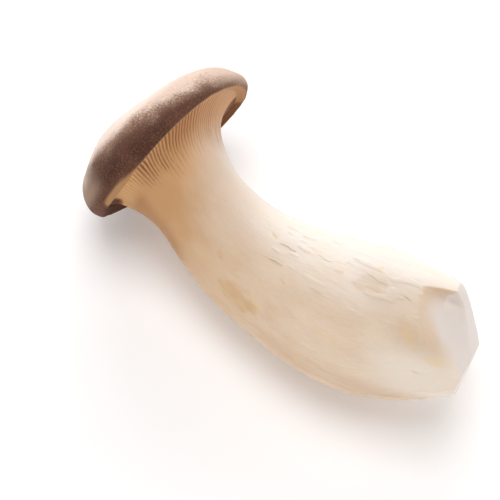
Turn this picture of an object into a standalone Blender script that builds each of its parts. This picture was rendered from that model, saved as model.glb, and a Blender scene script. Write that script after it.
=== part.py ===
"""A king oyster mushroom, lying on its side.

It is one grown thing and one solid: a brown cap with a rolled margin, gills that run down
from under the cap onto the neck, and a long thick stem that is bent like a bow, is fattest
below its middle, and has its foot trimmed by knife cuts. It rests on the rim of the cap and
on the belly of the stem, each pressed slightly flat where it touches the surface.
"""

import math

import bmesh
import bpy
import numpy as np
from mathutils import Vector

# Sizes are in millimetres until the mesh is made
MM = 0.001

# Cap and gills
CAP_RADIUS = 33.0
CAP_CENTRE = np.array([-51.4, 0.6, 29.7])
CAP_AXIS = np.array([0.945, -0.126, -0.302])
MARGIN_WAVE = 0.7
MARGIN_TWIST = 1.9
LIP_DROOP = 3.4
LIP_ANGLE = -48.0
LIP_WIDTH = 28.0
DOME_LEAN = 1.5
CROWN_SWELL = 2.0
GILL_COUNT = 96
GILL_RELIEF = 0.45

# The centre line of the stem, a point every 20 mm from the level of the rim to past the foot
STEM_LINE = np.array([
    (-51.0, -2.3, 28.5),
    (-32.0, -7.7, 24.4),
    (-12.6, -11.7, 21.6),
    (7.4, -11.9, 21.1),
    (27.2, -10.0, 22.9),
    (46.3, -6.0, 27.1),
    (64.7, -1.0, 33.3),
    (82.7, 3.9, 40.2),
])

# Half the body's outline, as distance below the rim and radius: the stem from its untrimmed
# tip up to the neck, the gills from the neck out to the margin, then the rolled margin and dome
STEM_OUTLINE = [
    (137.0, 0.0),
    (135.0, 9.0),
    (129.0, 13.4),
    (121.0, 16.1),
    (113.0, 18.9),
    (103.0, 21.8),
    (94.5, 23.4),
    (88.5, 23.9),
    (82.5, 23.6),
    (76.0, 22.9),
    (60.5, 20.5),
    (43.0, 17.9),
    (33.0, 16.6),
    (26.0, 15.8),
    (19.0, 15.5),
]
GILL_OUTLINE = [
    (19.0, 15.5),
    (14.0, 16.1),
    (10.0, 17.2),
    (5.0, 19.5),
    (2.0, 22.1),
    (0.6, 25.0),
    (0.2, 28.0),
]
CAP_OUTLINE = [
    (0.2, 28.0),
    (0.9, 29.6),
    (1.3, 31.0),
    (0.2, 32.3),
    (-2.6, 33.0),
    (-4.8, 32.3),
    (-8.8, 29.8),
    (-12.0, 24.8),
    (-14.8, 16.5),
    (-15.6, 0.0),
]

# Angles round the stem are counted from the outer side of its bend, and 90 degrees faces here
FACING = np.array([0.308, -0.394, 0.866])

# Knife cuts at the foot, each a point on the blade's plane and the side it takes off
END_CUT = ((58.0, 5.1, 46.2), (0.72, 0.62, 0.31))
UNDER_CUT = ((69.5, -6.0, 17.4), (0.97, 0.21, -0.08))
NOTCH_FLOOR = ((55.7, -9.3, 47.1), (0.52, 0.33, 0.79))
NOTCH_WALL = ((47.8, 1.5, 47.8), (0.44, -0.89, -0.01))
SURFACE = ((0.0, 0.0, 0.0), (0.0, 0.0, -1.0))
KNIFE_SIZE = 90.0
SURFACE_SIZE = 200.0

# Mesh fineness
STEM_COLUMNS = 64
GILL_COLUMNS = 2 * GILL_COUNT
STEM_ROW = 3.8
GILL_ROW = 2.6
CAP_ROW = 3.0

# Linear colours
CAP_BROWN = (0.13, 0.07, 0.045)
GILL_TAN = (0.58, 0.36, 0.19)
FLESH_CREAM = (0.83, 0.73, 0.60)


def clear_scene():
    for item in list(bpy.data.objects):
        bpy.data.objects.remove(item, do_unlink=True)


def smooth_step(value):
    value = np.clip(value, 0, 1)
    return value * value * (3 - 2 * value)


def unit(vectors):
    return vectors / np.linalg.norm(vectors, axis=-1, keepdims=True)


def curve_through(points):
    """A smooth curve through the points, and the distance along it at each of them"""
    points = np.array(points, float)
    steps = np.linalg.norm(np.diff(points, axis=0), axis=1)
    knots = np.concatenate([[0.0], np.cumsum(steps)])
    count = len(points)
    matrix = np.eye(count)
    slopes = np.zeros_like(points)
    for i in range(1, count - 1):
        matrix[i, i - 1:i + 2] = steps[i - 1], 2 * (steps[i - 1] + steps[i]), steps[i]
        ahead = (points[i + 1] - points[i]) / steps[i]
        behind = (points[i] - points[i - 1]) / steps[i - 1]
        slopes[i] = 6 * (ahead - behind)
    bend = np.linalg.solve(matrix, slopes)

    def place(distance):
        distance = np.asarray(distance, float)
        i = np.clip(np.searchsorted(knots, distance) - 1, 0, count - 2)
        step = steps[i][..., None]
        after = (distance[..., None] - knots[i][..., None]) / step
        before = 1 - after
        curved = (before ** 3 - before) * bend[i] + (after ** 3 - after) * bend[i + 1]
        return before * points[i] + after * points[i + 1] + curved * step ** 2 / 6

    return place, knots


STEM_CURVE, STEM_KNOTS = curve_through(STEM_LINE)
STEM_LENGTH = STEM_KNOTS[-1]
BODY_OUTLINE = STEM_OUTLINE + GILL_OUTLINE[1:] + CAP_OUTLINE[1:]
BODY_CURVE, BODY_KNOTS = curve_through(BODY_OUTLINE)


def outline_rows(first, last, spacing):
    """Rows between two points of the outline: distance below the rim, radius, and their outward side"""
    start, end = BODY_KNOTS[first], BODY_KNOTS[last]
    at = np.linspace(start, end, int(round((end - start) / spacing)) + 1)
    along = unit(BODY_CURVE(np.minimum(at + 0.05, BODY_KNOTS[-1])) - BODY_CURVE(np.maximum(at - 0.05, 0)))
    return BODY_CURVE(at), np.column_stack([along[:, 1], -along[:, 0]])


def stem_frame(distance):
    """Centre of the stem, its direction, and its outer and facing sides, at a distance below the rim"""
    on_stem = min(max(distance, 0.0), STEM_LENGTH)
    start = max(on_stem - 0.05, 0.0)
    end = min(on_stem + 0.05, STEM_LENGTH)
    along = unit(STEM_CURVE(end) - STEM_CURVE(start))
    near_cap = smooth_step(1 - distance / 20)
    along = unit((1 - near_cap) * along + near_cap * unit(CAP_AXIS))
    outer = unit(np.cross(along, FACING))
    facing = np.cross(outer, along)
    centre = STEM_CURVE(on_stem) + along * (distance - on_stem)
    return centre, along, outer, facing


def cap_share(distance, radius):
    """How far a row follows the cap's centre, which sits a little off the stem's centre line"""
    if distance <= 0:
        return 1.0
    if distance >= GILL_OUTLINE[0][0]:
        return 0.0
    return smooth_step((radius - 18) / 10)


def droop(distance, radius, angle):
    """How far the wavy margin and the uneven dome lie toward the stem from a true turned cap"""
    share = radius / CAP_RADIUS
    wave = MARGIN_WAVE * np.cos(2 * angle) + MARGIN_TWIST * np.sin(2 * angle)
    on_top = smooth_step((2 - distance) / 8)
    from_lip = (np.degrees(angle) - LIP_ANGLE + 180) % 360 - 180
    lip = LIP_DROOP * np.exp(-(from_lip / LIP_WIDTH) ** 2) * (1 - on_top)
    margin = (wave + lip) * share ** 3 * smooth_step(1 - distance / 22)
    lean = DOME_LEAN * share ** 2 * np.cos(angle)
    from_crown = (radius * np.cos(angle) - 11) ** 2 + 0.3 * (radius * np.sin(angle)) ** 2
    swell = CROWN_SWELL * np.exp(-from_crown / 13 ** 2)
    return margin - on_top * (lean + swell)


def lumps(distance, angle):
    """Slow swellings of the stem, as a share of its radius"""
    wave = 0.015 * np.sin(2 * angle) * np.sin(distance / 16) + 0.010 * np.sin(angle) * np.sin(distance / 9)
    return wave * smooth_step((distance - 15) / 30)


def ring(distance, radius, angle):
    """Points round the body at about one distance below the rim"""
    level = float(np.mean(distance))
    centre, along, outer, facing = stem_frame(level)
    centre = centre + cap_share(level, float(np.mean(radius))) * (CAP_CENTRE - STEM_LINE[0])
    swollen = radius * (1 + lumps(distance, angle))
    return (centre
            + np.outer(distance - level + droop(distance, radius, angle), along)
            + np.outer(swollen * np.cos(angle), outer)
            + np.outer(swollen * np.sin(angle), facing))


def gill_height(distance, radius):
    """The gills are tallest under the cap, fade out down the neck and stop short of the margin"""
    return GILL_RELIEF * smooth_step((18 - distance) / 10) * smooth_step((28.0 - radius) / 1.5)


def add_rows(mesh, first, last, spacing, columns, ridged=False):
    """One zone of the body as rows of vertices, with every other column raised where it is ridged"""
    angle = np.arange(columns) * 2 * math.pi / columns
    rows = []
    for (distance, radius), outward in zip(*outline_rows(first, last, spacing)):
        height = gill_height(distance, radius) * np.cos(GILL_COUNT * angle) if ridged else np.zeros(columns)
        points = ring(distance + height * outward[0], radius + height * outward[1], angle)
        rows.append([mesh.verts.new(point * MM) for point in points])
    return rows


def bridge(mesh, lower, upper, material):
    """Faces between two rows, one of which may have a few times the vertices of the other"""
    share_low = max(len(lower) // len(upper), 1)
    share_high = max(len(upper) // len(lower), 1)
    for i in range(min(len(lower), len(upper))):
        low = [lower[(i * share_low + j) % len(lower)] for j in range(share_low + 1)]
        high = [upper[(i * share_high + j) % len(upper)] for j in range(share_high + 1)]
        mesh.faces.new(low + high[::-1]).material_index = material


def close_end(mesh, row, material):
    """A fan from the middle of a row to its vertices"""
    middle = sum((vertex.co for vertex in row), Vector()) / len(row)
    tip = mesh.verts.new(middle)
    for i, vertex in enumerate(row):
        mesh.faces.new([vertex, row[(i + 1) % len(row)], tip]).material_index = material


def material(name, colour, roughness):
    made = bpy.data.materials.new(name)
    made.use_nodes = True
    shader = made.node_tree.nodes["Principled BSDF"]
    shader.inputs["Base Color"].default_value = (*colour, 1)
    shader.inputs["Roughness"].default_value = roughness
    shader.inputs["Metallic"].default_value = 0
    return made


def body_mesh():
    """The whole mushroom before it is trimmed, as one closed skin"""
    flesh, gills, cap = 0, 1, 2
    neck = len(STEM_OUTLINE) - 1
    margin = neck + len(GILL_OUTLINE) - 1
    crown = len(BODY_OUTLINE) - 1
    mesh = bmesh.new()
    stem_rows = add_rows(mesh, 0, neck, STEM_ROW, STEM_COLUMNS)
    gill_rows = add_rows(mesh, neck, margin, GILL_ROW, GILL_COLUMNS, ridged=True)
    cap_rows = add_rows(mesh, margin, crown, CAP_ROW, STEM_COLUMNS)
    unused = stem_rows[0] + stem_rows[-1] + cap_rows[0] + cap_rows[-1]
    rows = stem_rows[1:-1] + gill_rows + cap_rows[1:-1]
    first_gill = len(stem_rows) - 2
    first_cap = first_gill + len(gill_rows)
    for i in range(len(rows) - 1):
        slot = flesh if i + 1 < first_gill else gills if i + 1 < first_cap else cap
        bridge(mesh, rows[i], rows[i + 1], slot)
    close_end(mesh, rows[0], flesh)
    close_end(mesh, rows[-1], cap)
    bmesh.ops.delete(mesh, geom=unused, context="VERTS")
    bmesh.ops.triangulate(mesh, faces=mesh.faces[:])
    bmesh.ops.recalc_face_normals(mesh, faces=mesh.faces[:])
    data = bpy.data.meshes.new("mushroom")
    mesh.to_mesh(data)
    mesh.free()
    data.shade_smooth()
    return data


def add_knife(name, cut, size):
    """A block whose one face lies on the cut's plane, on the side that is taken off"""
    point, normal = (Vector(part) for part in cut)
    normal.normalize()
    bpy.ops.mesh.primitive_cube_add(size=size * MM)
    knife = bpy.context.object
    knife.name = name
    knife.location = (point + normal * size / 2) * MM
    knife.rotation_euler = normal.to_track_quat("Z", "Y").to_euler()
    knife.hide_render = True
    knife.display_type = "WIRE"
    return knife


def add_boolean(item, tool, operation):
    change = item.modifiers.new(f"{operation.title()} {tool.name}", "BOOLEAN")
    change.operation = operation
    change.object = tool


def build_mushroom():
    data = body_mesh()
    data.materials.append(material("flesh", FLESH_CREAM, 0.6))
    data.materials.append(material("gills", GILL_TAN, 0.7))
    data.materials.append(material("cap_skin", CAP_BROWN, 0.75))
    mushroom = bpy.data.objects.new("mushroom", data)
    bpy.context.scene.collection.objects.link(mushroom)
    notch = add_knife("notch_cut", NOTCH_FLOOR, KNIFE_SIZE)
    add_boolean(notch, add_knife("notch_wall_cut", NOTCH_WALL, KNIFE_SIZE), "INTERSECT")
    add_boolean(mushroom, notch, "DIFFERENCE")
    add_boolean(mushroom, add_knife("end_cut", END_CUT, KNIFE_SIZE), "DIFFERENCE")
    add_boolean(mushroom, add_knife("under_cut", UNDER_CUT, KNIFE_SIZE), "DIFFERENCE")
    add_boolean(mushroom, add_knife("surface_cut", SURFACE, SURFACE_SIZE), "DIFFERENCE")


clear_scene()
build_mushroom()
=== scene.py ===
"""How a king oyster mushroom looks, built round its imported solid.

The skin is made again, finely, by the rule that shapes the solid: rings round a bent centre
line, with the radius read from an outline that runs from the trimmed foot up the stem, along
the gills and over the cap. The gaps between the gills are sunk in one by one, the stem carries
fibres and torn slivers of skin, and the foot is trimmed by the same knife cuts.
"""
import itertools
import math

import bpy
import numpy as np
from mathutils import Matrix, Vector


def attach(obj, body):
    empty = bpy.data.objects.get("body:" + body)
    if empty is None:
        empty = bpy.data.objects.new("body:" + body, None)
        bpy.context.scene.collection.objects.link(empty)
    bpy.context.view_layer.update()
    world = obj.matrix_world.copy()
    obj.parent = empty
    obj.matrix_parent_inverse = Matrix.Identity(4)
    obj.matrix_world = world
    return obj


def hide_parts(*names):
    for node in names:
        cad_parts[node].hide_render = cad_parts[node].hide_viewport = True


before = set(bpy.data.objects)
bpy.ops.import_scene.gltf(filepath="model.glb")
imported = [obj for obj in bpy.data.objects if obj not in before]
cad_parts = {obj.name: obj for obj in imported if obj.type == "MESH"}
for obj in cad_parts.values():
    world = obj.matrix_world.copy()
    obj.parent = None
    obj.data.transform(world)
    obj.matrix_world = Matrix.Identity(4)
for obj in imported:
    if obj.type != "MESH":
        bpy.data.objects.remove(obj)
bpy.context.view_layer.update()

# Sizes are in millimetres until a mesh is made
MM = 0.001

# Cap and gills
CAP_RADIUS = 33.0
CAP_CENTRE = np.array([-51.4, 0.6, 29.7])
CAP_AXIS = np.array([0.945, -0.126, -0.302])
MARGIN_WAVE = 0.7
MARGIN_TWIST = 1.9
LIP_DROOP = 3.4
LIP_ANGLE = -48.0
LIP_WIDTH = 28.0
DOME_LEAN = 1.5
CROWN_SWELL = 2.0
CROWN_PLACE = 11.0
CROWN_SPREAD = 13.0
MARGIN_FADE = 22.0
GILL_COUNT = 108

# Over this length below the rim, the body turns from the cap's axis to the stem's line
TURN_LENGTH = 20.0

# Half the length over which the slope of a curve is measured
SLOPE_STEP = 0.05

# The centre line of the stem, a point every 20 mm from the level of the rim to past the foot
STEM_LINE = np.array([
    (-51.0, -2.3, 28.5),
    (-32.0, -7.7, 24.4),
    (-12.6, -11.7, 21.6),
    (7.4, -11.9, 21.1),
    (27.2, -10.0, 22.9),
    (46.3, -6.0, 27.1),
    (64.7, -1.0, 33.3),
    (82.7, 3.9, 40.2),
])

# Outline of the body, from the foot up to the crown: distance below the rim and radius
STEM_OUTLINE = [
    (137.0, 0.0), (135.0, 9.0), (129.0, 13.4), (121.0, 16.1), (113.0, 18.9),
    (103.0, 21.8), (94.5, 23.4), (88.5, 23.9), (82.5, 23.6), (76.0, 22.9),
    (60.5, 20.5), (43.0, 17.9), (33.0, 16.6), (26.0, 15.8), (19.0, 15.5),
]
GILL_OUTLINE = [
    (19.0, 15.5), (14.0, 16.1), (10.0, 17.2), (5.0, 19.5), (2.0, 22.1), (0.6, 25.0), (0.2, 28.0),
]
CAP_OUTLINE = [
    (0.2, 28.0), (0.9, 29.6), (1.3, 31.0), (0.2, 32.3), (-2.6, 33.0),
    (-4.8, 32.3), (-8.8, 29.8), (-12.0, 24.8), (-14.8, 16.5), (-15.6, 0.0),
]

# Angles round the stem are counted from the outer side of its bend, and 90 degrees faces here
FACING = np.array([0.308, -0.394, 0.866])

# Knife cuts at the foot, each a point on the blade's plane and the side it takes off
HEART = np.array([41.3, 4.0, 27.2])
END_CUT = ((58.0, 5.1, 46.2), (0.72, 0.62, 0.31))
UNDER_CUT = ((69.5, -6.0, 17.4), (0.97, 0.21, -0.08))
NOTCH_FLOOR = ((55.7, -9.3, 47.1), (0.52, 0.33, 0.79))
NOTCH_WALL = ((47.8, 1.5, 47.8), (0.44, -0.89, -0.01))
EDGE_ROUND = 0.012
NOTCH_ROUND = 0.30
NOTCH_FADE = 0.06

# How finely each zone is meshed
STEM_ROW = 0.63
STEM_COLUMNS = 480
GILL_ROW = 0.36
GILL_COLUMNS = 10 * GILL_COUNT
CAP_ROW = 0.42
CAP_COLUMNS = 540

# Relief of the gills, which all start at the rim and merge or fade down the neck
GILL_DEPTH = 0.55
GILLS_OUT_TO = 28.6
MERGE_FROM = 5.0
FADE_END = 12.5

# They are faint and short round this angle
FAINT_ANGLE = 36
FAINT_WIDTH = 27
FAINT_SHORTER = 8.5

# The pale rim outside the gills reaches this radius, and more round one angle
RIM_OUT_TO = 31.5
RIM_WIDER = 2.1
RIM_WIDE_ANGLE = 45
RIM_WIDE_WIDTH = 20

# Angles from which painted shade darkens the underside, where it turns away
GILLS_FAR_ANGLE = 16
CAP_FAR_ANGLE = 26

# A tall fast wave whose fractions scatter evenly, from which the noise takes its fixed numbers
SCATTER_SIDES = np.array([127.1, 311.7, 74.7])
SCATTER_SEED = 19.19
SCATTER_HEIGHT = 43758.5453

# Relief of the stem
FIBRE_RELIEF = 0.06
DENT_RELIEF = 0.25
FLAKE_RELIEF = 0.26
CREASE_DEPTH = 0.20
HOLLOW_DEPTH = 0.25

# Strokes on the stem: two ends, as distance below the rim and degrees, then half width and strength
PATCH_STROKES = [
    ((46, 51), (58, 51), 5.5, 0.95),
    ((22, 51), (25, 49), 2.6, 0.5),
    ((108, 103), (112, 84), 4.0, 0.3),
    ((40, 73), (41, 71), 1.6, 0.5),
]
CREASE_STROKES = [
    ((44, 43), (52, 43.5), 0.7, 0.5),
    ((52, 43.5), (61, 45), 0.6, 0.5),
    ((55, 63), (63, 52), 0.7, 0.4),
    ((74, 95.5), (81, 95.5), 0.6, 0.6),
    ((50, 124.5), (53.5, 122), 0.6, 0.8),
    ((78.5, 117), (83, 118), 0.7, 0.5),
    ((63, 90), (65.5, 89), 0.6, 0.5),
    ((53, 99.5), (61, 100.5), 0.6, 0.4),
    ((15.5, 54.5), (16.5, 53.5), 0.7, 0.8),
    ((68, 112), (76, 109), 0.6, 0.3),
    ((64, 128), (72, 127), 0.6, 0.3),
    ((112, 57), (115, 52), 0.6, 0.5),
    ((115, 85), (115.8, 86.5), 0.7, 0.8),
    ((46, 68), (51, 69), 0.6, 0.3),
]
YELLOW_STROKES = [
    ((81.5, 69), (84, 67), 1.2, 0.8),
    ((86, 68), (88.5, 69), 0.9, 0.6),
    ((93, 135.5), (95, 135), 1.6, 0.6),
    ((109.5, 94), (112, 80), 2.2, 0.4),
    ((117, 69), (121, 63), 1.6, 0.45),
    ((51.5, 123), (53.5, 122), 0.6, 0.5),
    ((45, 45), (60, 46), 0.6, 0.3),
    ((57, 61), (62, 55), 1.0, 0.6),
]
HOLLOW_STROKES = [
    ((91, 121.5), (99, 123.5), 2.2, 0.6),
    ((87, 113.5), (98, 117), 2.6, 0.7),
]

# Torn slivers of skin: two ends, width and how far the free edge stands up
SLIVERS = [
    ((87.5, 127), (100, 125), 0.9, 0.16),
    ((54, 101.5), (61, 102), 0.6, 0.09),
    ((55, 119.5), (62, 119), 0.6, 0.09),
    ((74.5, 93), (81, 93), 0.45, 0.07),
    ((103, 126), (108.5, 119), 0.9, 0.11),
    ((70, 124), (77, 122.5), 0.45, 0.07),
    ((81, 128), (87, 127.5), 0.5, 0.08),
]
SLIVER_ROWS = 15
SLIVER_SWAY = 0.25
SLIVER_YELLOW = 0.25

# Colours of the flesh
# The whiter inner cream is partly the flesh's own colour and partly painted highlight on the back-lit
# side
INNER_CREAM_AND_HIGHLIGHT = (0.80, 0.72, 0.65)
OUTER_CREAM = (0.72, 0.555, 0.41)
CLOUD_CREAM = (0.79, 0.66, 0.525)
FIBRE_TAN = (0.61, 0.45, 0.31)
FIBRE_PALE = (0.94, 0.87, 0.77)
NECK_TAN = (0.575, 0.32, 0.14)
# Painted shade in the gaps between the gills
GAP_SHADE_BROWN = (0.36, 0.165, 0.065)
# Painted shade on the cap's underside where it faces away and down, partly its own darker brown
FAR_SHADE_BROWN = (0.20, 0.072, 0.022)
LOWEST_SHADE_BROWN = (0.08, 0.026, 0.008)
CUT_CREAM = (0.745, 0.67, 0.62)
BRUISE_AND_SHADE_TAN = (0.62, 0.39, 0.20)
# Bruise tan, also used as painted shade in creases, hollows and below the notch's wall
WORN_YELLOW = (0.78, 0.58, 0.28)

# Patches of colour over the flesh. Each has its colour, then the measures that it fades along, in
# millimetres, with a start, an end and its strength at the two, which are 0 and 1 where not given
FLESH_PATCHES = {
    "by the rim": (
        (0.54, 0.28, 0.115), ("down", 0.0, 10.0, 0.75, 0.0), ("outer", -9.0, 6.0, 1.0, 0.15)),
    # Painted shade on the outer side of the neck
    "shade on the outer side of the neck": (
        (0.37, 0.155, 0.04),
        ("outer", 11.0, 15.5, 0.0, 0.6), ("down", 24.0, 36.0, 1.0, 0.0), ("down", 3.0, 8.0)),
    "below the neck": (
        (0.78, 0.64, 0.47),
        ("down", 27.0, 36.0), ("down", 48.0, 64.0, 1.0, 0.0), ("outer", 4.0, 10.0, 0.0, 0.25)),
    "outer side of the rim": (
        (0.74, 0.45, 0.20),
        ("outer", 8.0, 15.0), ("outer", 19.0, 24.0, 1.0, 0.0), ("down", 2.0, 8.0, 0.5, 0.0)),
    # The paler inner side of the neck is partly painted highlight, where the back light falls
    "inner side of the neck": (
        (0.82, 0.74, 0.66), ("down", 6.0, 14.0, 0.0, 0.5), ("outer", -12.0, -15.5)),
    "pale foot": (
        (0.82, 0.74, 0.65),
        ("outer", 0.0, 9.0), ("outer", 17.0, 21.0, 1.0, 0.0), ("down", 92.0, 110.0, 0.0, 0.8)),
    # Painted shade on the outer side of the foot, near the floor
    "shade on the outer side of the foot": (
        (0.56, 0.40, 0.28), ("outer", 16.0, 21.5, 0.0, 0.45), ("down", 80.0, 95.0)),
    "tan foot": (
        (0.60, 0.44, 0.31),
        ("slanted", 96.0, 112.0, 0.0, 0.4), ("outer", -19.0, -13.0), ("outer", 3.0, 11.0, 1.0, 0.0)),
}

# Colours of the cap's skin, and patches over it as above, where the grain goes from 0 to 1
DARK_BROWN = (0.078, 0.031, 0.020)
CLOUD_BROWN = (0.115, 0.049, 0.032)
RIM_TAN = (0.44, 0.245, 0.115)
# Painted sheen on the outer end of the cap
SHEEN_GREY_BROWN = (0.38, 0.25, 0.185)
SHEEN_GREY_PALE = (0.70, 0.57, 0.50)
# The pale crown is partly the cap's own colour and partly painted highlight, tilted paler toward the
# inner side where the back light falls
CROWN_AND_HIGHLIGHT_PATCHES = {
    "outer edge": ((0.135, 0.06, 0.036), ("outer", 8.0, 18.0, 0.0, 0.7), ("down", -3.5, -0.5)),
    "first pale grains": ((0.34, 0.205, 0.145), ("speckled", -3.0, -9.0)),
    "paler grains": ((0.74, 0.56, 0.46), ("speckled", -6.7, -11.7)),
    "crown": ((0.84, 0.71, 0.62), ("down", -9.5, -14.0)),
}
SKIN_PATCHES = {
    # The pale inner end by the rim is painted highlight, where the back light falls
    "inner end": ((0.60, 0.44, 0.355), ("outer", -20.0, -30.0, 0.0, 0.85), ("down", 1.5, -1.5)),
    "grains": ((0.34, 0.21, 0.145), ("grain", 0.46, 0.72, 0.0, 0.24)),
    "hidden crown": ((0.50, 0.36, 0.28), ("hidden", 2.0, -26.0, 0.0, 0.8), ("down", -4.0, -10.0)),
}

# The camera looks down at the mushroom from this side
AIM = np.array([-13.0, -6.6, 14.2])
CAMERA_AZIMUTH = 38
CAMERA_ELEVATION = 60
CAMERA_DISTANCE = 650
LENS = 144
SENSOR = 36

# Square lamps: degrees round from the camera, elevation, watts and colour
LAMP_DISTANCE = 1000
LAMP_SIZE = 700
LAMPS = {
    "back_light": (180, 17, 7.7, (0.97, 0.98, 1.0)),
    "top_light": (180, 86, 6.6, (1.0, 1.0, 1.0)),
    "front_light": (0, 10, 5.6, (1.0, 0.97, 0.93)),
    "right_light": (90, 12, 4.0, (1.0, 0.97, 0.94)),
    "left_light": (-90, 12, 1.9, (1.0, 0.97, 0.94)),
    "back_left_light": (225, 20, 2.4, (1.0, 1.0, 1.0)),
}

# The floor, which lies a hair below the mushroom
FLOOR_HALF = 4000
FLOOR_DROP = 0.05


def smooth_step(value):
    value = np.clip(value, 0, 1)
    return value * value * (3 - 2 * value)


def unit(vectors):
    return vectors / np.linalg.norm(vectors, axis=-1, keepdims=True)


def lattice(cells, seed):
    """A fixed number from 0 to 1 for each cell of a grid"""
    wave = np.sin(cells @ SCATTER_SIDES + seed * SCATTER_SEED) * SCATTER_HEIGHT
    return wave - np.floor(wave)


def noise(points, seed):
    """Smooth noise from -1 to 1, with features about one unit across"""
    cell = np.floor(points)
    share = smooth_step(points - cell)
    total = np.zeros(points.shape[:-1])
    for corner in itertools.product((0, 1), repeat=3):
        weight = np.prod(np.where(corner, share, 1 - share), axis=-1)
        total += weight * lattice(cell + corner, seed)
    return 2 * total - 1


def curve_through(points):
    """A smooth curve through the points, and the distance along it at each of them"""
    points = np.array(points, float)
    steps = np.linalg.norm(np.diff(points, axis=0), axis=1)
    knots = np.concatenate([[0.0], np.cumsum(steps)])
    count = len(points)
    matrix = np.eye(count)
    slopes = np.zeros_like(points)
    for i in range(1, count - 1):
        matrix[i, i - 1:i + 2] = steps[i - 1], 2 * (steps[i - 1] + steps[i]), steps[i]
        ahead = (points[i + 1] - points[i]) / steps[i]
        behind = (points[i] - points[i - 1]) / steps[i - 1]
        slopes[i] = 6 * (ahead - behind)
    bend = np.linalg.solve(matrix, slopes)

    def place(distance):
        distance = np.asarray(distance, float)
        i = np.clip(np.searchsorted(knots, distance) - 1, 0, count - 2)
        step = steps[i][..., None]
        after = (distance[..., None] - knots[i][..., None]) / step
        before = 1 - after
        curved = (before ** 3 - before) * bend[i] + (after ** 3 - after) * bend[i + 1]
        return before * points[i] + after * points[i + 1] + curved * step ** 2 / 6

    return place, knots


STEM_CURVE, STEM_KNOTS = curve_through(STEM_LINE)
STEM_LENGTH = STEM_KNOTS[-1]
BODY_OUTLINE = STEM_OUTLINE + GILL_OUTLINE[1:] + CAP_OUTLINE[1:]
BODY_CURVE, BODY_KNOTS = curve_through(BODY_OUTLINE)
NECK = len(STEM_OUTLINE) - 1
MARGIN = NECK + len(GILL_OUTLINE) - 1


def outline_rows(first, last, spacing):
    """Rows between two points of the outline and one past each end: place and outward side"""
    start, end = BODY_KNOTS[first], BODY_KNOTS[last]
    count = int(round((end - start) / spacing))
    step = (end - start) / count
    at = np.clip(start + step * np.arange(-1, count + 2), 0, BODY_KNOTS[-1])
    ahead = BODY_CURVE(np.minimum(at + SLOPE_STEP, BODY_KNOTS[-1]))
    behind = BODY_CURVE(np.maximum(at - SLOPE_STEP, 0))
    along = unit(ahead - behind)
    return BODY_CURVE(at), np.column_stack([along[:, 1], -along[:, 0]])


def stem_frame(distance):
    """Centre of the stem, its direction, and its outer and facing sides, at a distance below the rim"""
    on_stem = min(max(distance, 0.0), STEM_LENGTH)
    start = max(on_stem - SLOPE_STEP, 0.0)
    end = min(on_stem + SLOPE_STEP, STEM_LENGTH)
    along = unit(STEM_CURVE(end) - STEM_CURVE(start))
    near_cap = smooth_step(1 - distance / TURN_LENGTH)
    along = unit((1 - near_cap) * along + near_cap * unit(CAP_AXIS))
    outer = unit(np.cross(along, FACING))
    facing = np.cross(outer, along)
    centre = STEM_CURVE(on_stem) + along * (distance - on_stem)
    return centre, along, outer, facing


def cap_share(distance, radius):
    """How far a row follows the cap's centre, which sits a little off the stem's centre line"""
    if distance <= 0:
        return 1.0
    if distance >= GILL_OUTLINE[0][0]:
        return 0.0
    return smooth_step((radius - 18) / 10)


def droop(distance, radius, angle):
    """How far the wavy margin and the uneven dome lie toward the stem from a true turned cap"""
    share = radius / CAP_RADIUS
    wave = MARGIN_WAVE * np.cos(2 * angle) + MARGIN_TWIST * np.sin(2 * angle)
    on_top = smooth_step((2 - distance) / 8)
    from_lip = (np.degrees(angle) - LIP_ANGLE + 180) % 360 - 180
    lip = LIP_DROOP * np.exp(-(from_lip / LIP_WIDTH) ** 2) * (1 - on_top)
    margin = (wave + lip) * share ** 3 * smooth_step(1 - distance / MARGIN_FADE)
    lean = DOME_LEAN * share ** 2 * np.cos(angle)
    from_crown = (radius * np.cos(angle) - CROWN_PLACE) ** 2 + 0.3 * (radius * np.sin(angle)) ** 2
    swell = CROWN_SWELL * np.exp(-from_crown / CROWN_SPREAD ** 2)
    return margin - on_top * (lean + swell)


def lumps(distance, angle):
    """Slow swellings of the stem, as a share of its radius"""
    twofold = 0.015 * np.sin(2 * angle) * np.sin(distance / 16)
    onefold = 0.010 * np.sin(angle) * np.sin(distance / 9)
    return (twofold + onefold) * smooth_step((distance - 15) / 30)


def ring(level, size, distance, radius, angle):
    """Points round the body, in the frame of one level below the rim"""
    centre, along, outer, facing = stem_frame(level)
    centre = centre + cap_share(level, size) * (CAP_CENTRE - STEM_LINE[0])
    swollen = radius * (1 + lumps(distance, angle))
    return (centre
            + np.outer(distance - level + droop(distance, radius, angle), along)
            + np.outer(swollen * np.cos(angle), outer)
            + np.outer(swollen * np.sin(angle), facing))


def straightened(distance, radius, angle):
    """Where a point would be if the stem were straight: the coordinates that the fibres follow"""
    down = np.broadcast_to(distance, angle.shape)
    return np.stack([radius * np.cos(angle), radius * np.sin(angle), down], -1)


def grid(first, last, spacing, columns, relief):
    """A zone of the body as rows of points, with their straightened places and the relief's marks"""
    angle = np.arange(columns) * 2 * math.pi / columns
    points, straight, rows = [], [], []
    for (distance, radius), outward in zip(*outline_rows(first, last, spacing)):
        height, marks = relief(distance, radius, angle)
        raised_distance = distance + height * outward[0]
        raised_radius = radius + height * outward[1]
        points.append(ring(distance, radius, raised_distance, raised_radius, angle))
        straight.append(straightened(distance, radius, angle))
        rows.append(marks)
    marks = {name: np.array([row[name] for row in rows]) for name in rows[0]}
    return np.array(points), np.array(straight), marks


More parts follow.
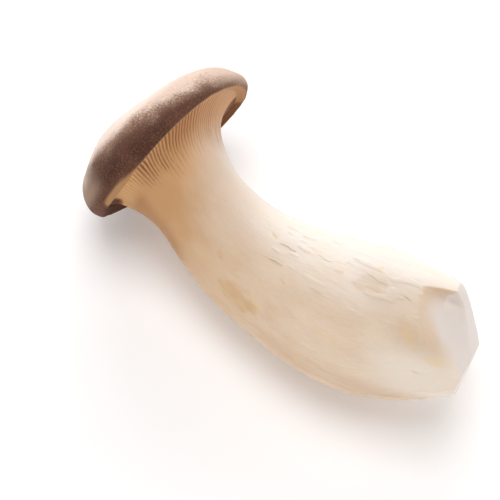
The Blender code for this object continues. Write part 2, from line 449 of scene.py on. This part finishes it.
def strokes(distance, radius, angle, places):
    """How strongly the ragged strokes mark each point of a ring, fading from their middles outward"""
    place = straightened(distance, radius, angle)
    ragged = np.stack([noise(place / (2.0, 2.0, 3.0), 31), noise(place / (1.5, 1.5, 2.5), 32)], -1)
    blotchy = 0.75 + 0.25 * noise(place / (1.6, 1.6, 3.0), 33)
    unrolled = np.stack([np.full(len(angle), distance), angle * radius], -1)
    total = np.zeros(len(angle))
    for start, end, width, strength in places:
        if not min(start[0], end[0]) - 1.5 * width < distance < max(start[0], end[0]) + 1.5 * width:
            continue
        first = np.array([start[0], math.radians(start[1]) * radius])
        step = np.array([end[0], math.radians(end[1]) * radius]) - first
        here = unrolled - first + 0.8 * min(width, 1.5) * ragged
        share = np.clip(here @ step / (step @ step), 0, 1)
        apart = np.linalg.norm(here - share[:, None] * step, axis=1)
        slim = width * (1 - 0.6 * np.abs(2 * share - 1) ** 3)
        total = np.maximum(total, strength * blotchy * smooth_step(1.4 * (1 - apart / slim)))
    return total


def stem_relief(distance, radius, angle):
    """Soft dents, long raised fibres, small torn flakes, and the marks of wear and handling, with painted
    shade in the creases and hollows
    """
    place = straightened(distance, radius, angle)
    dents = noise(place / (9.0, 9.0, 22.0), 3) + 0.5 * noise(place / (4.0, 4.0, 12.0), 4)
    fibres = noise(place / (1.3, 1.3, 16.0), 5) + 0.6 * noise(place / (0.8, 0.8, 8.0), 6)
    torn = noise(place / (1.7, 1.7, 8.0), 21) + 0.4 * noise(place / (7.0, 7.0, 16.0), 22)
    flakes = smooth_step((torn - 0.40) / 0.25) * smooth_step((distance - 34) / 20)
    creases = strokes(distance, radius, angle, CREASE_STROKES)
    hollows = strokes(distance, radius, angle, HOLLOW_STROKES)
    away = smooth_step((distance - GILL_OUTLINE[0][0]) / 12)
    height = away * (DENT_RELIEF * dents + FIBRE_RELIEF * fibres + FLAKE_RELIEF * flakes)
    height = height - CREASE_DEPTH * creases - HOLLOW_DEPTH * hollows
    patches = strokes(distance, radius, angle, PATCH_STROKES)
    marks = {
        # Real bruised patches, with painted shade in the creases and hollows
        "bruise": np.maximum(np.maximum(patches, 0.6 * creases), 0.4 * hollows),
        "yellow": strokes(distance, radius, angle, YELLOW_STROKES),
    }
    return height, marks


def far_half_shade(angle, start):
    """How much painted shade darkens the cap's underside on the half that faces down and away: 1, and 2
    at its lowest
    """
    share = smooth_step((0.16 - np.sin(angle - math.radians(start))) / 0.2)
    return share * (1 + smooth_step(np.cos(angle) * 2))


def gill_relief(distance, radius, angle):
    """Gaps between the gills: three merge into two, and they fade, soonest at one angle"""
    place = straightened(distance, radius, angle)
    sway = 0.30 * noise(place / (6.0, 6.0, 12.0), 8) + 0.08 * noise(place / (2.0, 2.0, 5.0), 9)
    turn = angle / (2 * math.pi) * GILL_COUNT + sway
    spot = straightened(0, 7.0, angle)
    merged = smooth_step((distance - MERGE_FROM - 2.5 * noise(spot, 10)) / 4)
    three = 0.5 + 0.5 * np.cos(2 * math.pi * turn)
    two = 0.5 + 0.5 * np.cos(2 * math.pi * turn / 1.5)
    valley = ((1 - merged) * three + merged * two) ** 1.5
    under_cap = smooth_step(GILLS_OUT_TO - radius)
    fainter = np.exp(-((angle - math.radians(FAINT_ANGLE)) / math.radians(FAINT_WIDTH)) ** 2)
    shorter = FAINT_SHORTER * fainter
    left = smooth_step((FADE_END - shorter + 3.0 * noise(spot * 1.4, 11) - distance) / (11 - shorter))
    uneven = 0.75 + 0.35 * noise(straightened(distance / 5, 12.0, angle), 15)
    weaker = (1 - 0.85 * fainter) * (1 - 0.2 * smooth_step((np.degrees(angle) - 95) / 25))
    gap = valley * left * under_cap * uneven * weaker * (1 + 0.9 * smooth_step(1 - distance / 4))
    # Painted shade on the far half of the underside, where it faces down and away
    far = far_half_shade(angle, GILLS_FAR_ANGLE) * smooth_step((radius - 20.5) / 3)
    return -GILL_DEPTH * gap, {"gap": gap, "far": far}


def cap_relief(distance, radius, angle):
    """The cap's skin is lumpy and finely grained, with pale flesh on the rim between it and the gills"""
    place = straightened(distance, radius, angle)
    fade = smooth_step((radius - GILL_OUTLINE[-1][1]) / 2) if distance > -2 else 1.0
    lumpy = 0.22 * noise(place / 9.0, 12) + 0.10 * noise(place / 3.5, 13)
    grain = 0.035 * noise(place / 1.1, 14)
    wider = np.exp(-((angle - math.radians(RIM_WIDE_ANGLE)) / math.radians(RIM_WIDE_WIDTH)) ** 2)
    rim = smooth_step(RIM_OUT_TO + RIM_WIDER * wider - radius) * smooth_step((distance + 0.9) / 0.8)
    # The far mark carries painted shade onto the underside of the pale rim
    return fade * (lumpy + grain), {"rim": rim, "far": far_half_shade(angle, CAP_FAR_ANGLE)}


def soft_max(a, b, width):
    blend = np.clip(0.5 + (a - b) / (2 * width), 0, 1)
    return b + (a - b) * blend + width * blend * (1 - blend)


def beyond(points, cut):
    """How far the points lie beyond a knife's plane"""
    place, normal = (np.array(part) for part in cut)
    return (points - place) @ unit(normal)


def reach(points, cut):
    """How many times farther than a knife's plane the points lie, seen from the heart of the foot"""
    return 1 - beyond(points, cut) / beyond(HEART, cut)


def trim(points):
    """The points drawn in to the knife cuts and the surface, with the marks that the knife leaves"""
    ends = np.maximum(reach(points, END_CUT), reach(points, UNDER_CUT))
    floor = reach(points, NOTCH_FLOOR)
    wall = reach(points, NOTCH_WALL)
    notch = -soft_max(-floor, -wall, NOTCH_ROUND)
    from_wall = smooth_step((wall - 1.3) / 3)
    draw = soft_max(np.ones_like(ends), ends, EDGE_ROUND)
    draw = soft_max(draw, notch, EDGE_ROUND + NOTCH_FADE * from_wall)
    trimmed = HEART + (points - HEART) / draw[..., None]
    trimmed[..., 2] = np.maximum(trimmed[..., 2], 0)
    return trimmed, knife_marks(points, ends, notch, wall, from_wall)


def knife_marks(points, ends, notch, wall, from_wall):
    """Where the flesh is cut, bruised along the notch's margin with painted shade just below its wall,
    and yellow at its edge, by reach of the cuts
    """
    not_end = smooth_step((1.02 - ends) / 0.03)
    ridge = smooth_step(1 - np.abs(notch - 1) / 0.03) * (1 - from_wall)
    uneven = 0.5 + 0.5 * noise(points / 3.5, 41)
    inner_border = 1 - smooth_step((notch - 1.02 - 0.06 * uneven) / 0.20)
    margin = smooth_step((notch - 0.93) / 0.08) * inner_border
    # Painted shade on the cut just below the notch's wall
    shade_by_wall = smooth_step((notch - 1) / 0.03) * (1 - smooth_step((wall - 1) / 2.2))
    upper = smooth_step((points[..., 2] - 24) / 16)
    return {
        "cut": np.maximum(smooth_step((ends - 1) / 0.02), smooth_step((notch - 1.0) / 0.30)),
        "bruise": not_end * np.maximum(0.18 * uneven * margin * upper, 0.45 * shade_by_wall),
        "yellow": not_end * 0.4 * ridge * uneven,
    }


def grid_normals(points):
    """Outward direction at each point of a grid, from its neighbours"""
    down = np.gradient(points, axis=0)
    around = np.roll(points, -1, axis=1) - np.roll(points, 1, axis=1)
    normals = np.cross(around, down)
    length = np.linalg.norm(normals, axis=-1, keepdims=True)
    return normals / np.maximum(length, 1e-9)


def grid_faces(rows, columns):
    corner = np.arange(rows * columns).reshape(rows, columns)
    beside = np.roll(corner, -1, axis=1)
    faces = np.stack([corner[:-1], beside[:-1], beside[1:], corner[1:]], -1)
    return faces.reshape(-1, 4).tolist()


def add_mesh(name, places, faces, straight, marks, material):
    """A piece that stands for part of the mushroom, with what its material reads from each point"""
    data = bpy.data.meshes.new(name)
    data.from_pydata((places * MM).tolist(), [], faces)
    data.shade_smooth()
    data.attributes.new("straight", "FLOAT_VECTOR", "POINT").data.foreach_set("vector", straight.ravel())
    for key in marks:
        data.attributes.new(key, "FLOAT", "POINT").data.foreach_set("value", marks[key])
    data.materials.append(material)
    piece = bpy.data.objects.new(name, data)
    bpy.context.scene.collection.objects.link(piece)
    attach(piece, "root")
    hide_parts("mushroom")
    return data


def add_piece(name, points, straight, marks, material, closed_end=None):
    """A mesh from a grid, with its own smooth shading"""
    normals = grid_normals(points)[1:-1]
    points, straight, marks = points[1:-1], straight[1:-1], {key: marks[key][1:-1] for key in marks}
    rows, columns = points.shape[:2]
    faces = grid_faces(rows, columns)
    places = points.reshape(-1, 3)
    sides = normals.reshape(-1, 3)
    straight = straight.reshape(-1, 3)
    marks = {key: marks[key].reshape(-1) for key in marks}
    if closed_end is not None:
        row = 0 if closed_end == "first" else rows - 1
        last = np.arange(row * columns, (row + 1) * columns)
        turned = last if closed_end == "first" else last[::-1]
        tip = len(places)
        faces += [[int(turned[(i + 1) % columns]), int(turned[i]), tip] for i in range(columns)]
        places = np.vstack([places, places[last].mean(axis=0)])
        sides = np.vstack([sides, unit(sides[last].mean(axis=0))])
        straight = np.vstack([straight, straight[last].mean(axis=0)])
        marks = {key: np.append(marks[key], marks[key][last].mean()) for key in marks}
    data = add_mesh(name, places, faces, straight, marks, material)
    data.normals_split_custom_set_from_vertices(sides.tolist())


def new_material(name):
    made = bpy.data.materials.new(name)
    made.use_nodes = True
    return made, made.node_tree, made.node_tree.nodes["Principled BSDF"]


def value_of(tree, name, output="Fac"):
    """A mark that the mesh carries"""
    node = tree.nodes.new("ShaderNodeAttribute")
    node.attribute_name = name
    return node.outputs[output]


def link_or_set(tree, socket, value):
    if isinstance(value, bpy.types.NodeSocket):
        tree.links.new(value, socket)
    elif isinstance(value, tuple) and len(value) == 3 and socket.type == "RGBA":
        socket.default_value = (*value, 1)
    else:
        socket.default_value = value


def ramp(tree, value, low, high, to_low=0.0, to_high=1.0):
    """A value brought smoothly from one range to another"""
    node = tree.nodes.new("ShaderNodeMapRange")
    node.interpolation_type = "SMOOTHSTEP"
    link_or_set(tree, node.inputs["Value"], value)
    for name, number in (("From Min", low), ("From Max", high), ("To Min", to_low), ("To Max", to_high)):
        node.inputs[name].default_value = number
    return node.outputs["Result"]


def math_node(tree, operation, first, second):
    node = tree.nodes.new("ShaderNodeMath")
    node.operation = operation
    link_or_set(tree, node.inputs[0], first)
    link_or_set(tree, node.inputs[1], second)
    return node.outputs[0]


def both(tree, first, second):
    return math_node(tree, "MULTIPLY", first, second)


def mix(tree, share, first, second):
    node = tree.nodes.new("ShaderNodeMix")
    node.data_type = "RGBA"
    link_or_set(tree, node.inputs["Factor"], share)
    link_or_set(tree, node.inputs["A"], first)
    link_or_set(tree, node.inputs["B"], second)
    return node.outputs["Result"]


def texture(tree, size, detail, roughness, seed):
    """Noise with features of a size in millimetres along each straightened axis"""
    scale = tree.nodes.new("ShaderNodeMapping")
    scale.inputs["Scale"].default_value = tuple(1 / side for side in size)
    scale.inputs["Location"].default_value = (seed, seed * 1.7, seed * 2.3)
    tree.links.new(value_of(tree, "straight", "Vector"), scale.inputs["Vector"])
    node = tree.nodes.new("ShaderNodeTexNoise")
    node.inputs["Scale"].default_value = 1.0
    node.inputs["Detail"].default_value = detail
    node.inputs["Roughness"].default_value = roughness
    tree.links.new(scale.outputs["Vector"], node.inputs["Vector"])
    return node.outputs["Fac"]


def bump(tree, shader, height, distance):
    node = tree.nodes.new("ShaderNodeBump")
    node.inputs["Strength"].default_value = 1.0
    node.inputs["Distance"].default_value = distance * MM
    tree.links.new(height, node.inputs["Height"])
    tree.links.new(node.outputs["Normal"], shader.inputs["Normal"])


def shaded_far_side(tree, colour):
    """The colour of the cap's underside with painted shade, darker where it faces away and darkest at its
    lowest
    """
    dark = mix(tree, ramp(tree, value_of(tree, "far"), 0.0, 1.0), colour, FAR_SHADE_BROWN)
    return mix(tree, ramp(tree, value_of(tree, "far"), 1.0, 2.0), dark, LOWEST_SHADE_BROWN)


def straight_measures(tree):
    """Where a point lies on the straightened mushroom: from its axis, and down from the rim"""
    parts = tree.nodes.new("ShaderNodeSeparateXYZ")
    tree.links.new(value_of(tree, "straight", "Vector"), parts.inputs["Vector"])
    return {"outer": parts.outputs["X"], "facing": parts.outputs["Y"], "down": parts.outputs["Z"]}


def spread(tree, texture_value, millimetres):
    """How far a texture moves a border to and fro, in millimetres from its lowest to its highest"""
    return both(tree, math_node(tree, "SUBTRACT", texture_value, 0.5), millimetres)


def patched(tree, colour, patches, measures):
    """The colour with patches over it, each as strong as all the ramps of its measures together"""
    for tint, *fades in patches.values():
        ramps = [ramp(tree, measures[name], *numbers) for name, *numbers in fades]
        share = ramps[0]
        for other in ramps[1:]:
            share = both(tree, share, other)
        colour = mix(tree, share, colour, tint)
    return colour


def cream_flesh(tree, fibres, fine, clouds, outer):
    """Cream that is whiter on the inner side of the bend, partly painted highlight where the back light
    falls, clouded, and streaked along the fibres
    """
    colour = mix(tree, ramp(tree, outer, -15.0, 4.0), INNER_CREAM_AND_HIGHLIGHT, OUTER_CREAM)
    colour = mix(tree, ramp(tree, clouds, 0.38, 0.68, 0.0, 0.55), colour, CLOUD_CREAM)
    colour = mix(tree, ramp(tree, fibres, 0.54, 0.76, 0.0, 0.28), colour, FIBRE_TAN)
    return mix(tree, ramp(tree, fine, 0.35, 0.62, 0.10, 0.0), colour, FIBRE_PALE)


def tan_toward_gills(tree, colour, clouds, measures):
    """Tan that fades down the neck, farther on its outer side, with a cloudy border"""
    cloudy = math_node(tree, "ADD", measures["down"], spread(tree, clouds, 24.0))
    from_gills = math_node(tree, "ADD", cloudy, both(tree, measures["outer"], -1.35))
    near = ramp(tree, from_gills, 4.0, 38.0, 0.52, 0.0)
    far = ramp(tree, from_gills, 10.0, 80.0, 0.44, 0.0)
    return mix(tree, math_node(tree, "ADD", near, far), colour, NECK_TAN)


def flesh_material():
    """Cream flesh with fine fibres, tan toward the gills, and whiter and plainer where it was cut"""
    made, tree, shader = new_material("flesh")
    fibres = texture(tree, (0.9, 0.9, 14.0), detail=5.0, roughness=0.6, seed=1.0)
    fine = texture(tree, (0.35, 0.35, 5.0), detail=3.0, roughness=0.6, seed=2.0)
    clouds = texture(tree, (9.0, 9.0, 20.0), detail=3.0, roughness=0.5, seed=3.0)
    measures = straight_measures(tree)
    slant = both(tree, measures["outer"], 1.2)
    measures["slanted"] = math_node(tree, "SUBTRACT", measures["down"], slant)
    colour = cream_flesh(tree, fibres, fine, clouds, measures["outer"])
    colour = tan_toward_gills(tree, colour, clouds, measures)
    colour = patched(tree, colour, FLESH_PATCHES, measures)
    # Painted shade in the gaps between the gills
    colour = mix(tree, value_of(tree, "gap"), colour, GAP_SHADE_BROWN)
    # Painted shade on the far half of the cap's underside
    colour = shaded_far_side(tree, colour)
    colour = mix(tree, value_of(tree, "cut"), colour, CUT_CREAM)
    # Real bruises, with painted shade in creases, hollows and below the notch's wall
    colour = mix(tree, value_of(tree, "bruise"), colour, BRUISE_AND_SHADE_TAN)
    colour = mix(tree, value_of(tree, "yellow"), colour, WORN_YELLOW)
    tree.links.new(colour, shader.inputs["Base Color"])
    shader.inputs["Roughness"].default_value = 0.6
    shader.inputs["IOR"].default_value = 1.4
    shader.inputs["Subsurface Weight"].default_value = 0.25
    shader.inputs["Subsurface Radius"].default_value = (1.0, 0.55, 0.3)
    shader.inputs["Subsurface Scale"].default_value = 2.5 * MM
    shader.inputs["Sheen Weight"].default_value = 0.12
    shader.inputs["Sheen Roughness"].default_value = 0.4
    bump(tree, shader, math_node(tree, "ADD", fibres, both(tree, fine, 0.5)), distance=0.15)
    return made


def outer_end_sheen(tree, colour, measures):
    """Painted sheen: the end of the cap toward the outer side is greyer, and paler toward the crown, as
    grazing light shows it
    """
    top = ramp(tree, measures["down"], -1.0, -5.0, 0.0, 0.85)
    share = both(tree, top, ramp(tree, measures["outer"], 21.0, 29.0))
    grey = mix(tree, ramp(tree, measures["down"], -6.0, -10.5), SHEEN_GREY_BROWN, SHEEN_GREY_PALE)
    return mix(tree, share, colour, grey)


def cap_material():
    """Dark brown velvet, speckled with paler grains that gather toward the crown, partly painted
    highlight where the back light grazes it
    """
    made, tree, shader = new_material("cap_skin")
    grain = texture(tree, (0.6, 0.6, 0.6), detail=2.0, roughness=0.6, seed=4.0)
    clouds = texture(tree, (9.0, 9.0, 9.0), detail=1.5, roughness=0.5, seed=5.0)
    cloudy = spread(tree, clouds, 8.0)
    measures = straight_measures(tree)
    # Tilted so that the painted highlight lies paler on the inner side, toward the back light
    tilted = math_node(tree, "ADD", measures["down"], both(tree, measures["outer"], 0.21))
    grainy = math_node(tree, "ADD", tilted, spread(tree, grain, 8.5))
    measures["speckled"] = math_node(tree, "ADD", grainy, cloudy)
    measures["hidden"] = math_node(tree, "ADD", measures["facing"], both(tree, cloudy, 2.5))
    measures["grain"] = grain
    colour = mix(tree, ramp(tree, clouds, 0.35, 0.65), DARK_BROWN, CLOUD_BROWN)
    colour = patched(tree, colour, CROWN_AND_HIGHLIGHT_PATCHES, measures)
    # Painted sheen on the outer end
    colour = outer_end_sheen(tree, colour, measures)
    colour = patched(tree, colour, SKIN_PATCHES, measures)
    # The pale rim, with painted shade where the underside faces away
    colour = mix(tree, value_of(tree, "rim"), colour, shaded_far_side(tree, RIM_TAN))
    tree.links.new(colour, shader.inputs["Base Color"])
    shader.inputs["Roughness"].default_value = 0.75
    shader.inputs["IOR"].default_value = 1.2
    shader.inputs["Sheen Weight"].default_value = 0.15
    shader.inputs["Sheen Roughness"].default_value = 0.35
    shader.inputs["Sheen Tint"].default_value = (1.0, 0.80, 0.68, 1.0)
    bump(tree, shader, grain, distance=0.35)
    return made


def sliver(start, end, width, lift):
    """A torn strip of skin along the stem, tapered at both ends, whose edge toward the belly stands up"""
    rows, straight = [], []
    for share in np.linspace(0, 1, SLIVER_ROWS):
        distance = start[0] + share * (end[0] - start[0])
        radius = float(np.interp(-distance, [-d for d, _ in STEM_OUTLINE], [r for _, r in STEM_OUTLINE]))
        slim = 0.03 + math.sin(math.pi * share) ** 0.7
        rise = lift * slim
        across = 0.5 * width * slim / radius
        sway = SLIVER_SWAY * math.sin(7 * share + start[0]) / radius
        middle = math.radians(start[1] + share * (end[1] - start[1])) + sway
        angle = middle + across * np.array([-0.7, -1, -0.4, 0.4, 1])
        radii = radius + np.array([-0.4, rise, 0.9 * rise, 0.5 * rise, -0.4])
        rows.append(ring(distance, radius, distance, radii, angle))
        straight.append(straightened(distance, radius, angle))
    return np.array(rows), np.array(straight)


def add_slivers(flesh):
    places, straight, faces = [], [], []
    for start, end, width, lift in SLIVERS:
        rows, spots = sliver(start, end, width, lift)
        count = rows.shape[1]
        first = len(places) * SLIVER_ROWS * count
        ends = [list(range(count))[::-1], list(range(count * (SLIVER_ROWS - 1), count * SLIVER_ROWS))]
        faces += [[first + corner for corner in face] for face in grid_faces(SLIVER_ROWS, count) + ends]
        places.append(rows.reshape(-1, 3))
        straight.append(spots.reshape(-1, 3))
    places, straight = np.vstack(places), np.vstack(straight)
    marks = {key: np.zeros(len(places)) for key in ("gap", "far", "bruise", "cut")}
    marks["yellow"] = np.full(len(places), SLIVER_YELLOW)
    data = add_mesh("slivers", places, faces, straight, marks, flesh)
    data.set_sharp_from_angle(angle=math.radians(40))


def build_stem(flesh):
    points, straight, marks = grid(0, NECK, STEM_ROW, STEM_COLUMNS, stem_relief)
    points, knife = trim(points)
    nothing = np.zeros(points.shape[:2])
    marks["bruise"] = np.maximum(marks["bruise"], knife["bruise"])
    marks["yellow"] = np.maximum(marks["yellow"], knife["yellow"])
    marks.update(cut=knife["cut"], gap=nothing, far=nothing)
    add_piece("stem", points, straight, marks, flesh, "first")


def build_gills(flesh):
    points, straight, marks = grid(NECK, MARGIN, GILL_ROW, GILL_COLUMNS, gill_relief)
    nothing = np.zeros(points.shape[:2])
    marks.update(cut=nothing, bruise=nothing, yellow=nothing)
    add_piece("gills", points, straight, marks, flesh)


def build_cap(skin):
    points, straight, marks = grid(MARGIN, len(BODY_OUTLINE) - 1, CAP_ROW, CAP_COLUMNS, cap_relief)
    points[..., 2] = np.maximum(points[..., 2], 0)
    add_piece("cap", points, straight, marks, skin, "last")


def build_mushroom():
    flesh = flesh_material()
    skin = cap_material()
    build_stem(flesh)
    add_slivers(flesh)
    build_gills(flesh)
    build_cap(skin)


def direction(azimuth, elevation):
    """From the mushroom toward a camera or lamp: azimuth 0 is toward -Y, and 90 toward +X"""
    a, e = math.radians(azimuth), math.radians(elevation)
    return np.array([math.sin(a) * math.cos(e), -math.cos(a) * math.cos(e), math.sin(e)])


def point_at_mushroom(thing, back, distance):
    """Places a camera or lamp so that it looks at the mushroom from a side and a distance"""
    thing.location = (AIM + back * distance) * MM
    thing.rotation_euler = Vector(back).to_track_quat("Z", "Y").to_euler()


def add_camera():
    data = bpy.data.cameras.new("camera")
    data.lens = LENS
    data.sensor_width = SENSOR
    data.clip_start = 10 * MM
    camera = bpy.data.objects.new("camera", data)
    bpy.context.scene.collection.objects.link(camera)
    point_at_mushroom(camera, direction(CAMERA_AZIMUTH, CAMERA_ELEVATION), CAMERA_DISTANCE)
    bpy.context.scene.camera = camera


def add_lamps():
    """A strong low light behind, weaker low ones at the front and sides, and a soft one above"""
    for name, (turn, elevation, watts, colour) in LAMPS.items():
        data = bpy.data.lights.new(name, "AREA")
        data.shape = "SQUARE"
        data.size = LAMP_SIZE * MM
        data.energy = watts
        data.color = colour
        lamp = bpy.data.objects.new(name, data)
        bpy.context.scene.collection.objects.link(lamp)
        point_at_mushroom(lamp, direction(CAMERA_AZIMUTH + turn, elevation), LAMP_DISTANCE)


def add_floor():
    corners = np.array([(-1, -1), (1, -1), (1, 1), (-1, 1)]) * FLOOR_HALF * MM
    data = bpy.data.meshes.new("floor")
    data.from_pydata([(x, y, -FLOOR_DROP * MM) for x, y in corners], [], [(0, 1, 2, 3)])
    made, _, shader = new_material("floor")
    shader.inputs["Base Color"].default_value = (0.90, 0.885, 0.89, 1)
    shader.inputs["Roughness"].default_value = 0.9
    shader.inputs["Emission Color"].default_value = (1, 1, 1, 1)
    shader.inputs["Emission Strength"].default_value = 0.15
    data.materials.append(made)
    floor = bpy.data.objects.new("floor", data)
    bpy.context.scene.collection.objects.link(floor)


def add_world():
    world = bpy.data.worlds.new("studio")
    bpy.context.scene.world = world
    world.use_nodes = True
    background = world.node_tree.nodes["Background"]
    background.inputs["Color"].default_value = (1, 1, 1, 1)
    background.inputs["Strength"].default_value = 0.05


build_mushroom()
add_camera()
add_lamps()
add_floor()
add_world()
bpy.context.scene.view_settings.view_transform = "Standard"
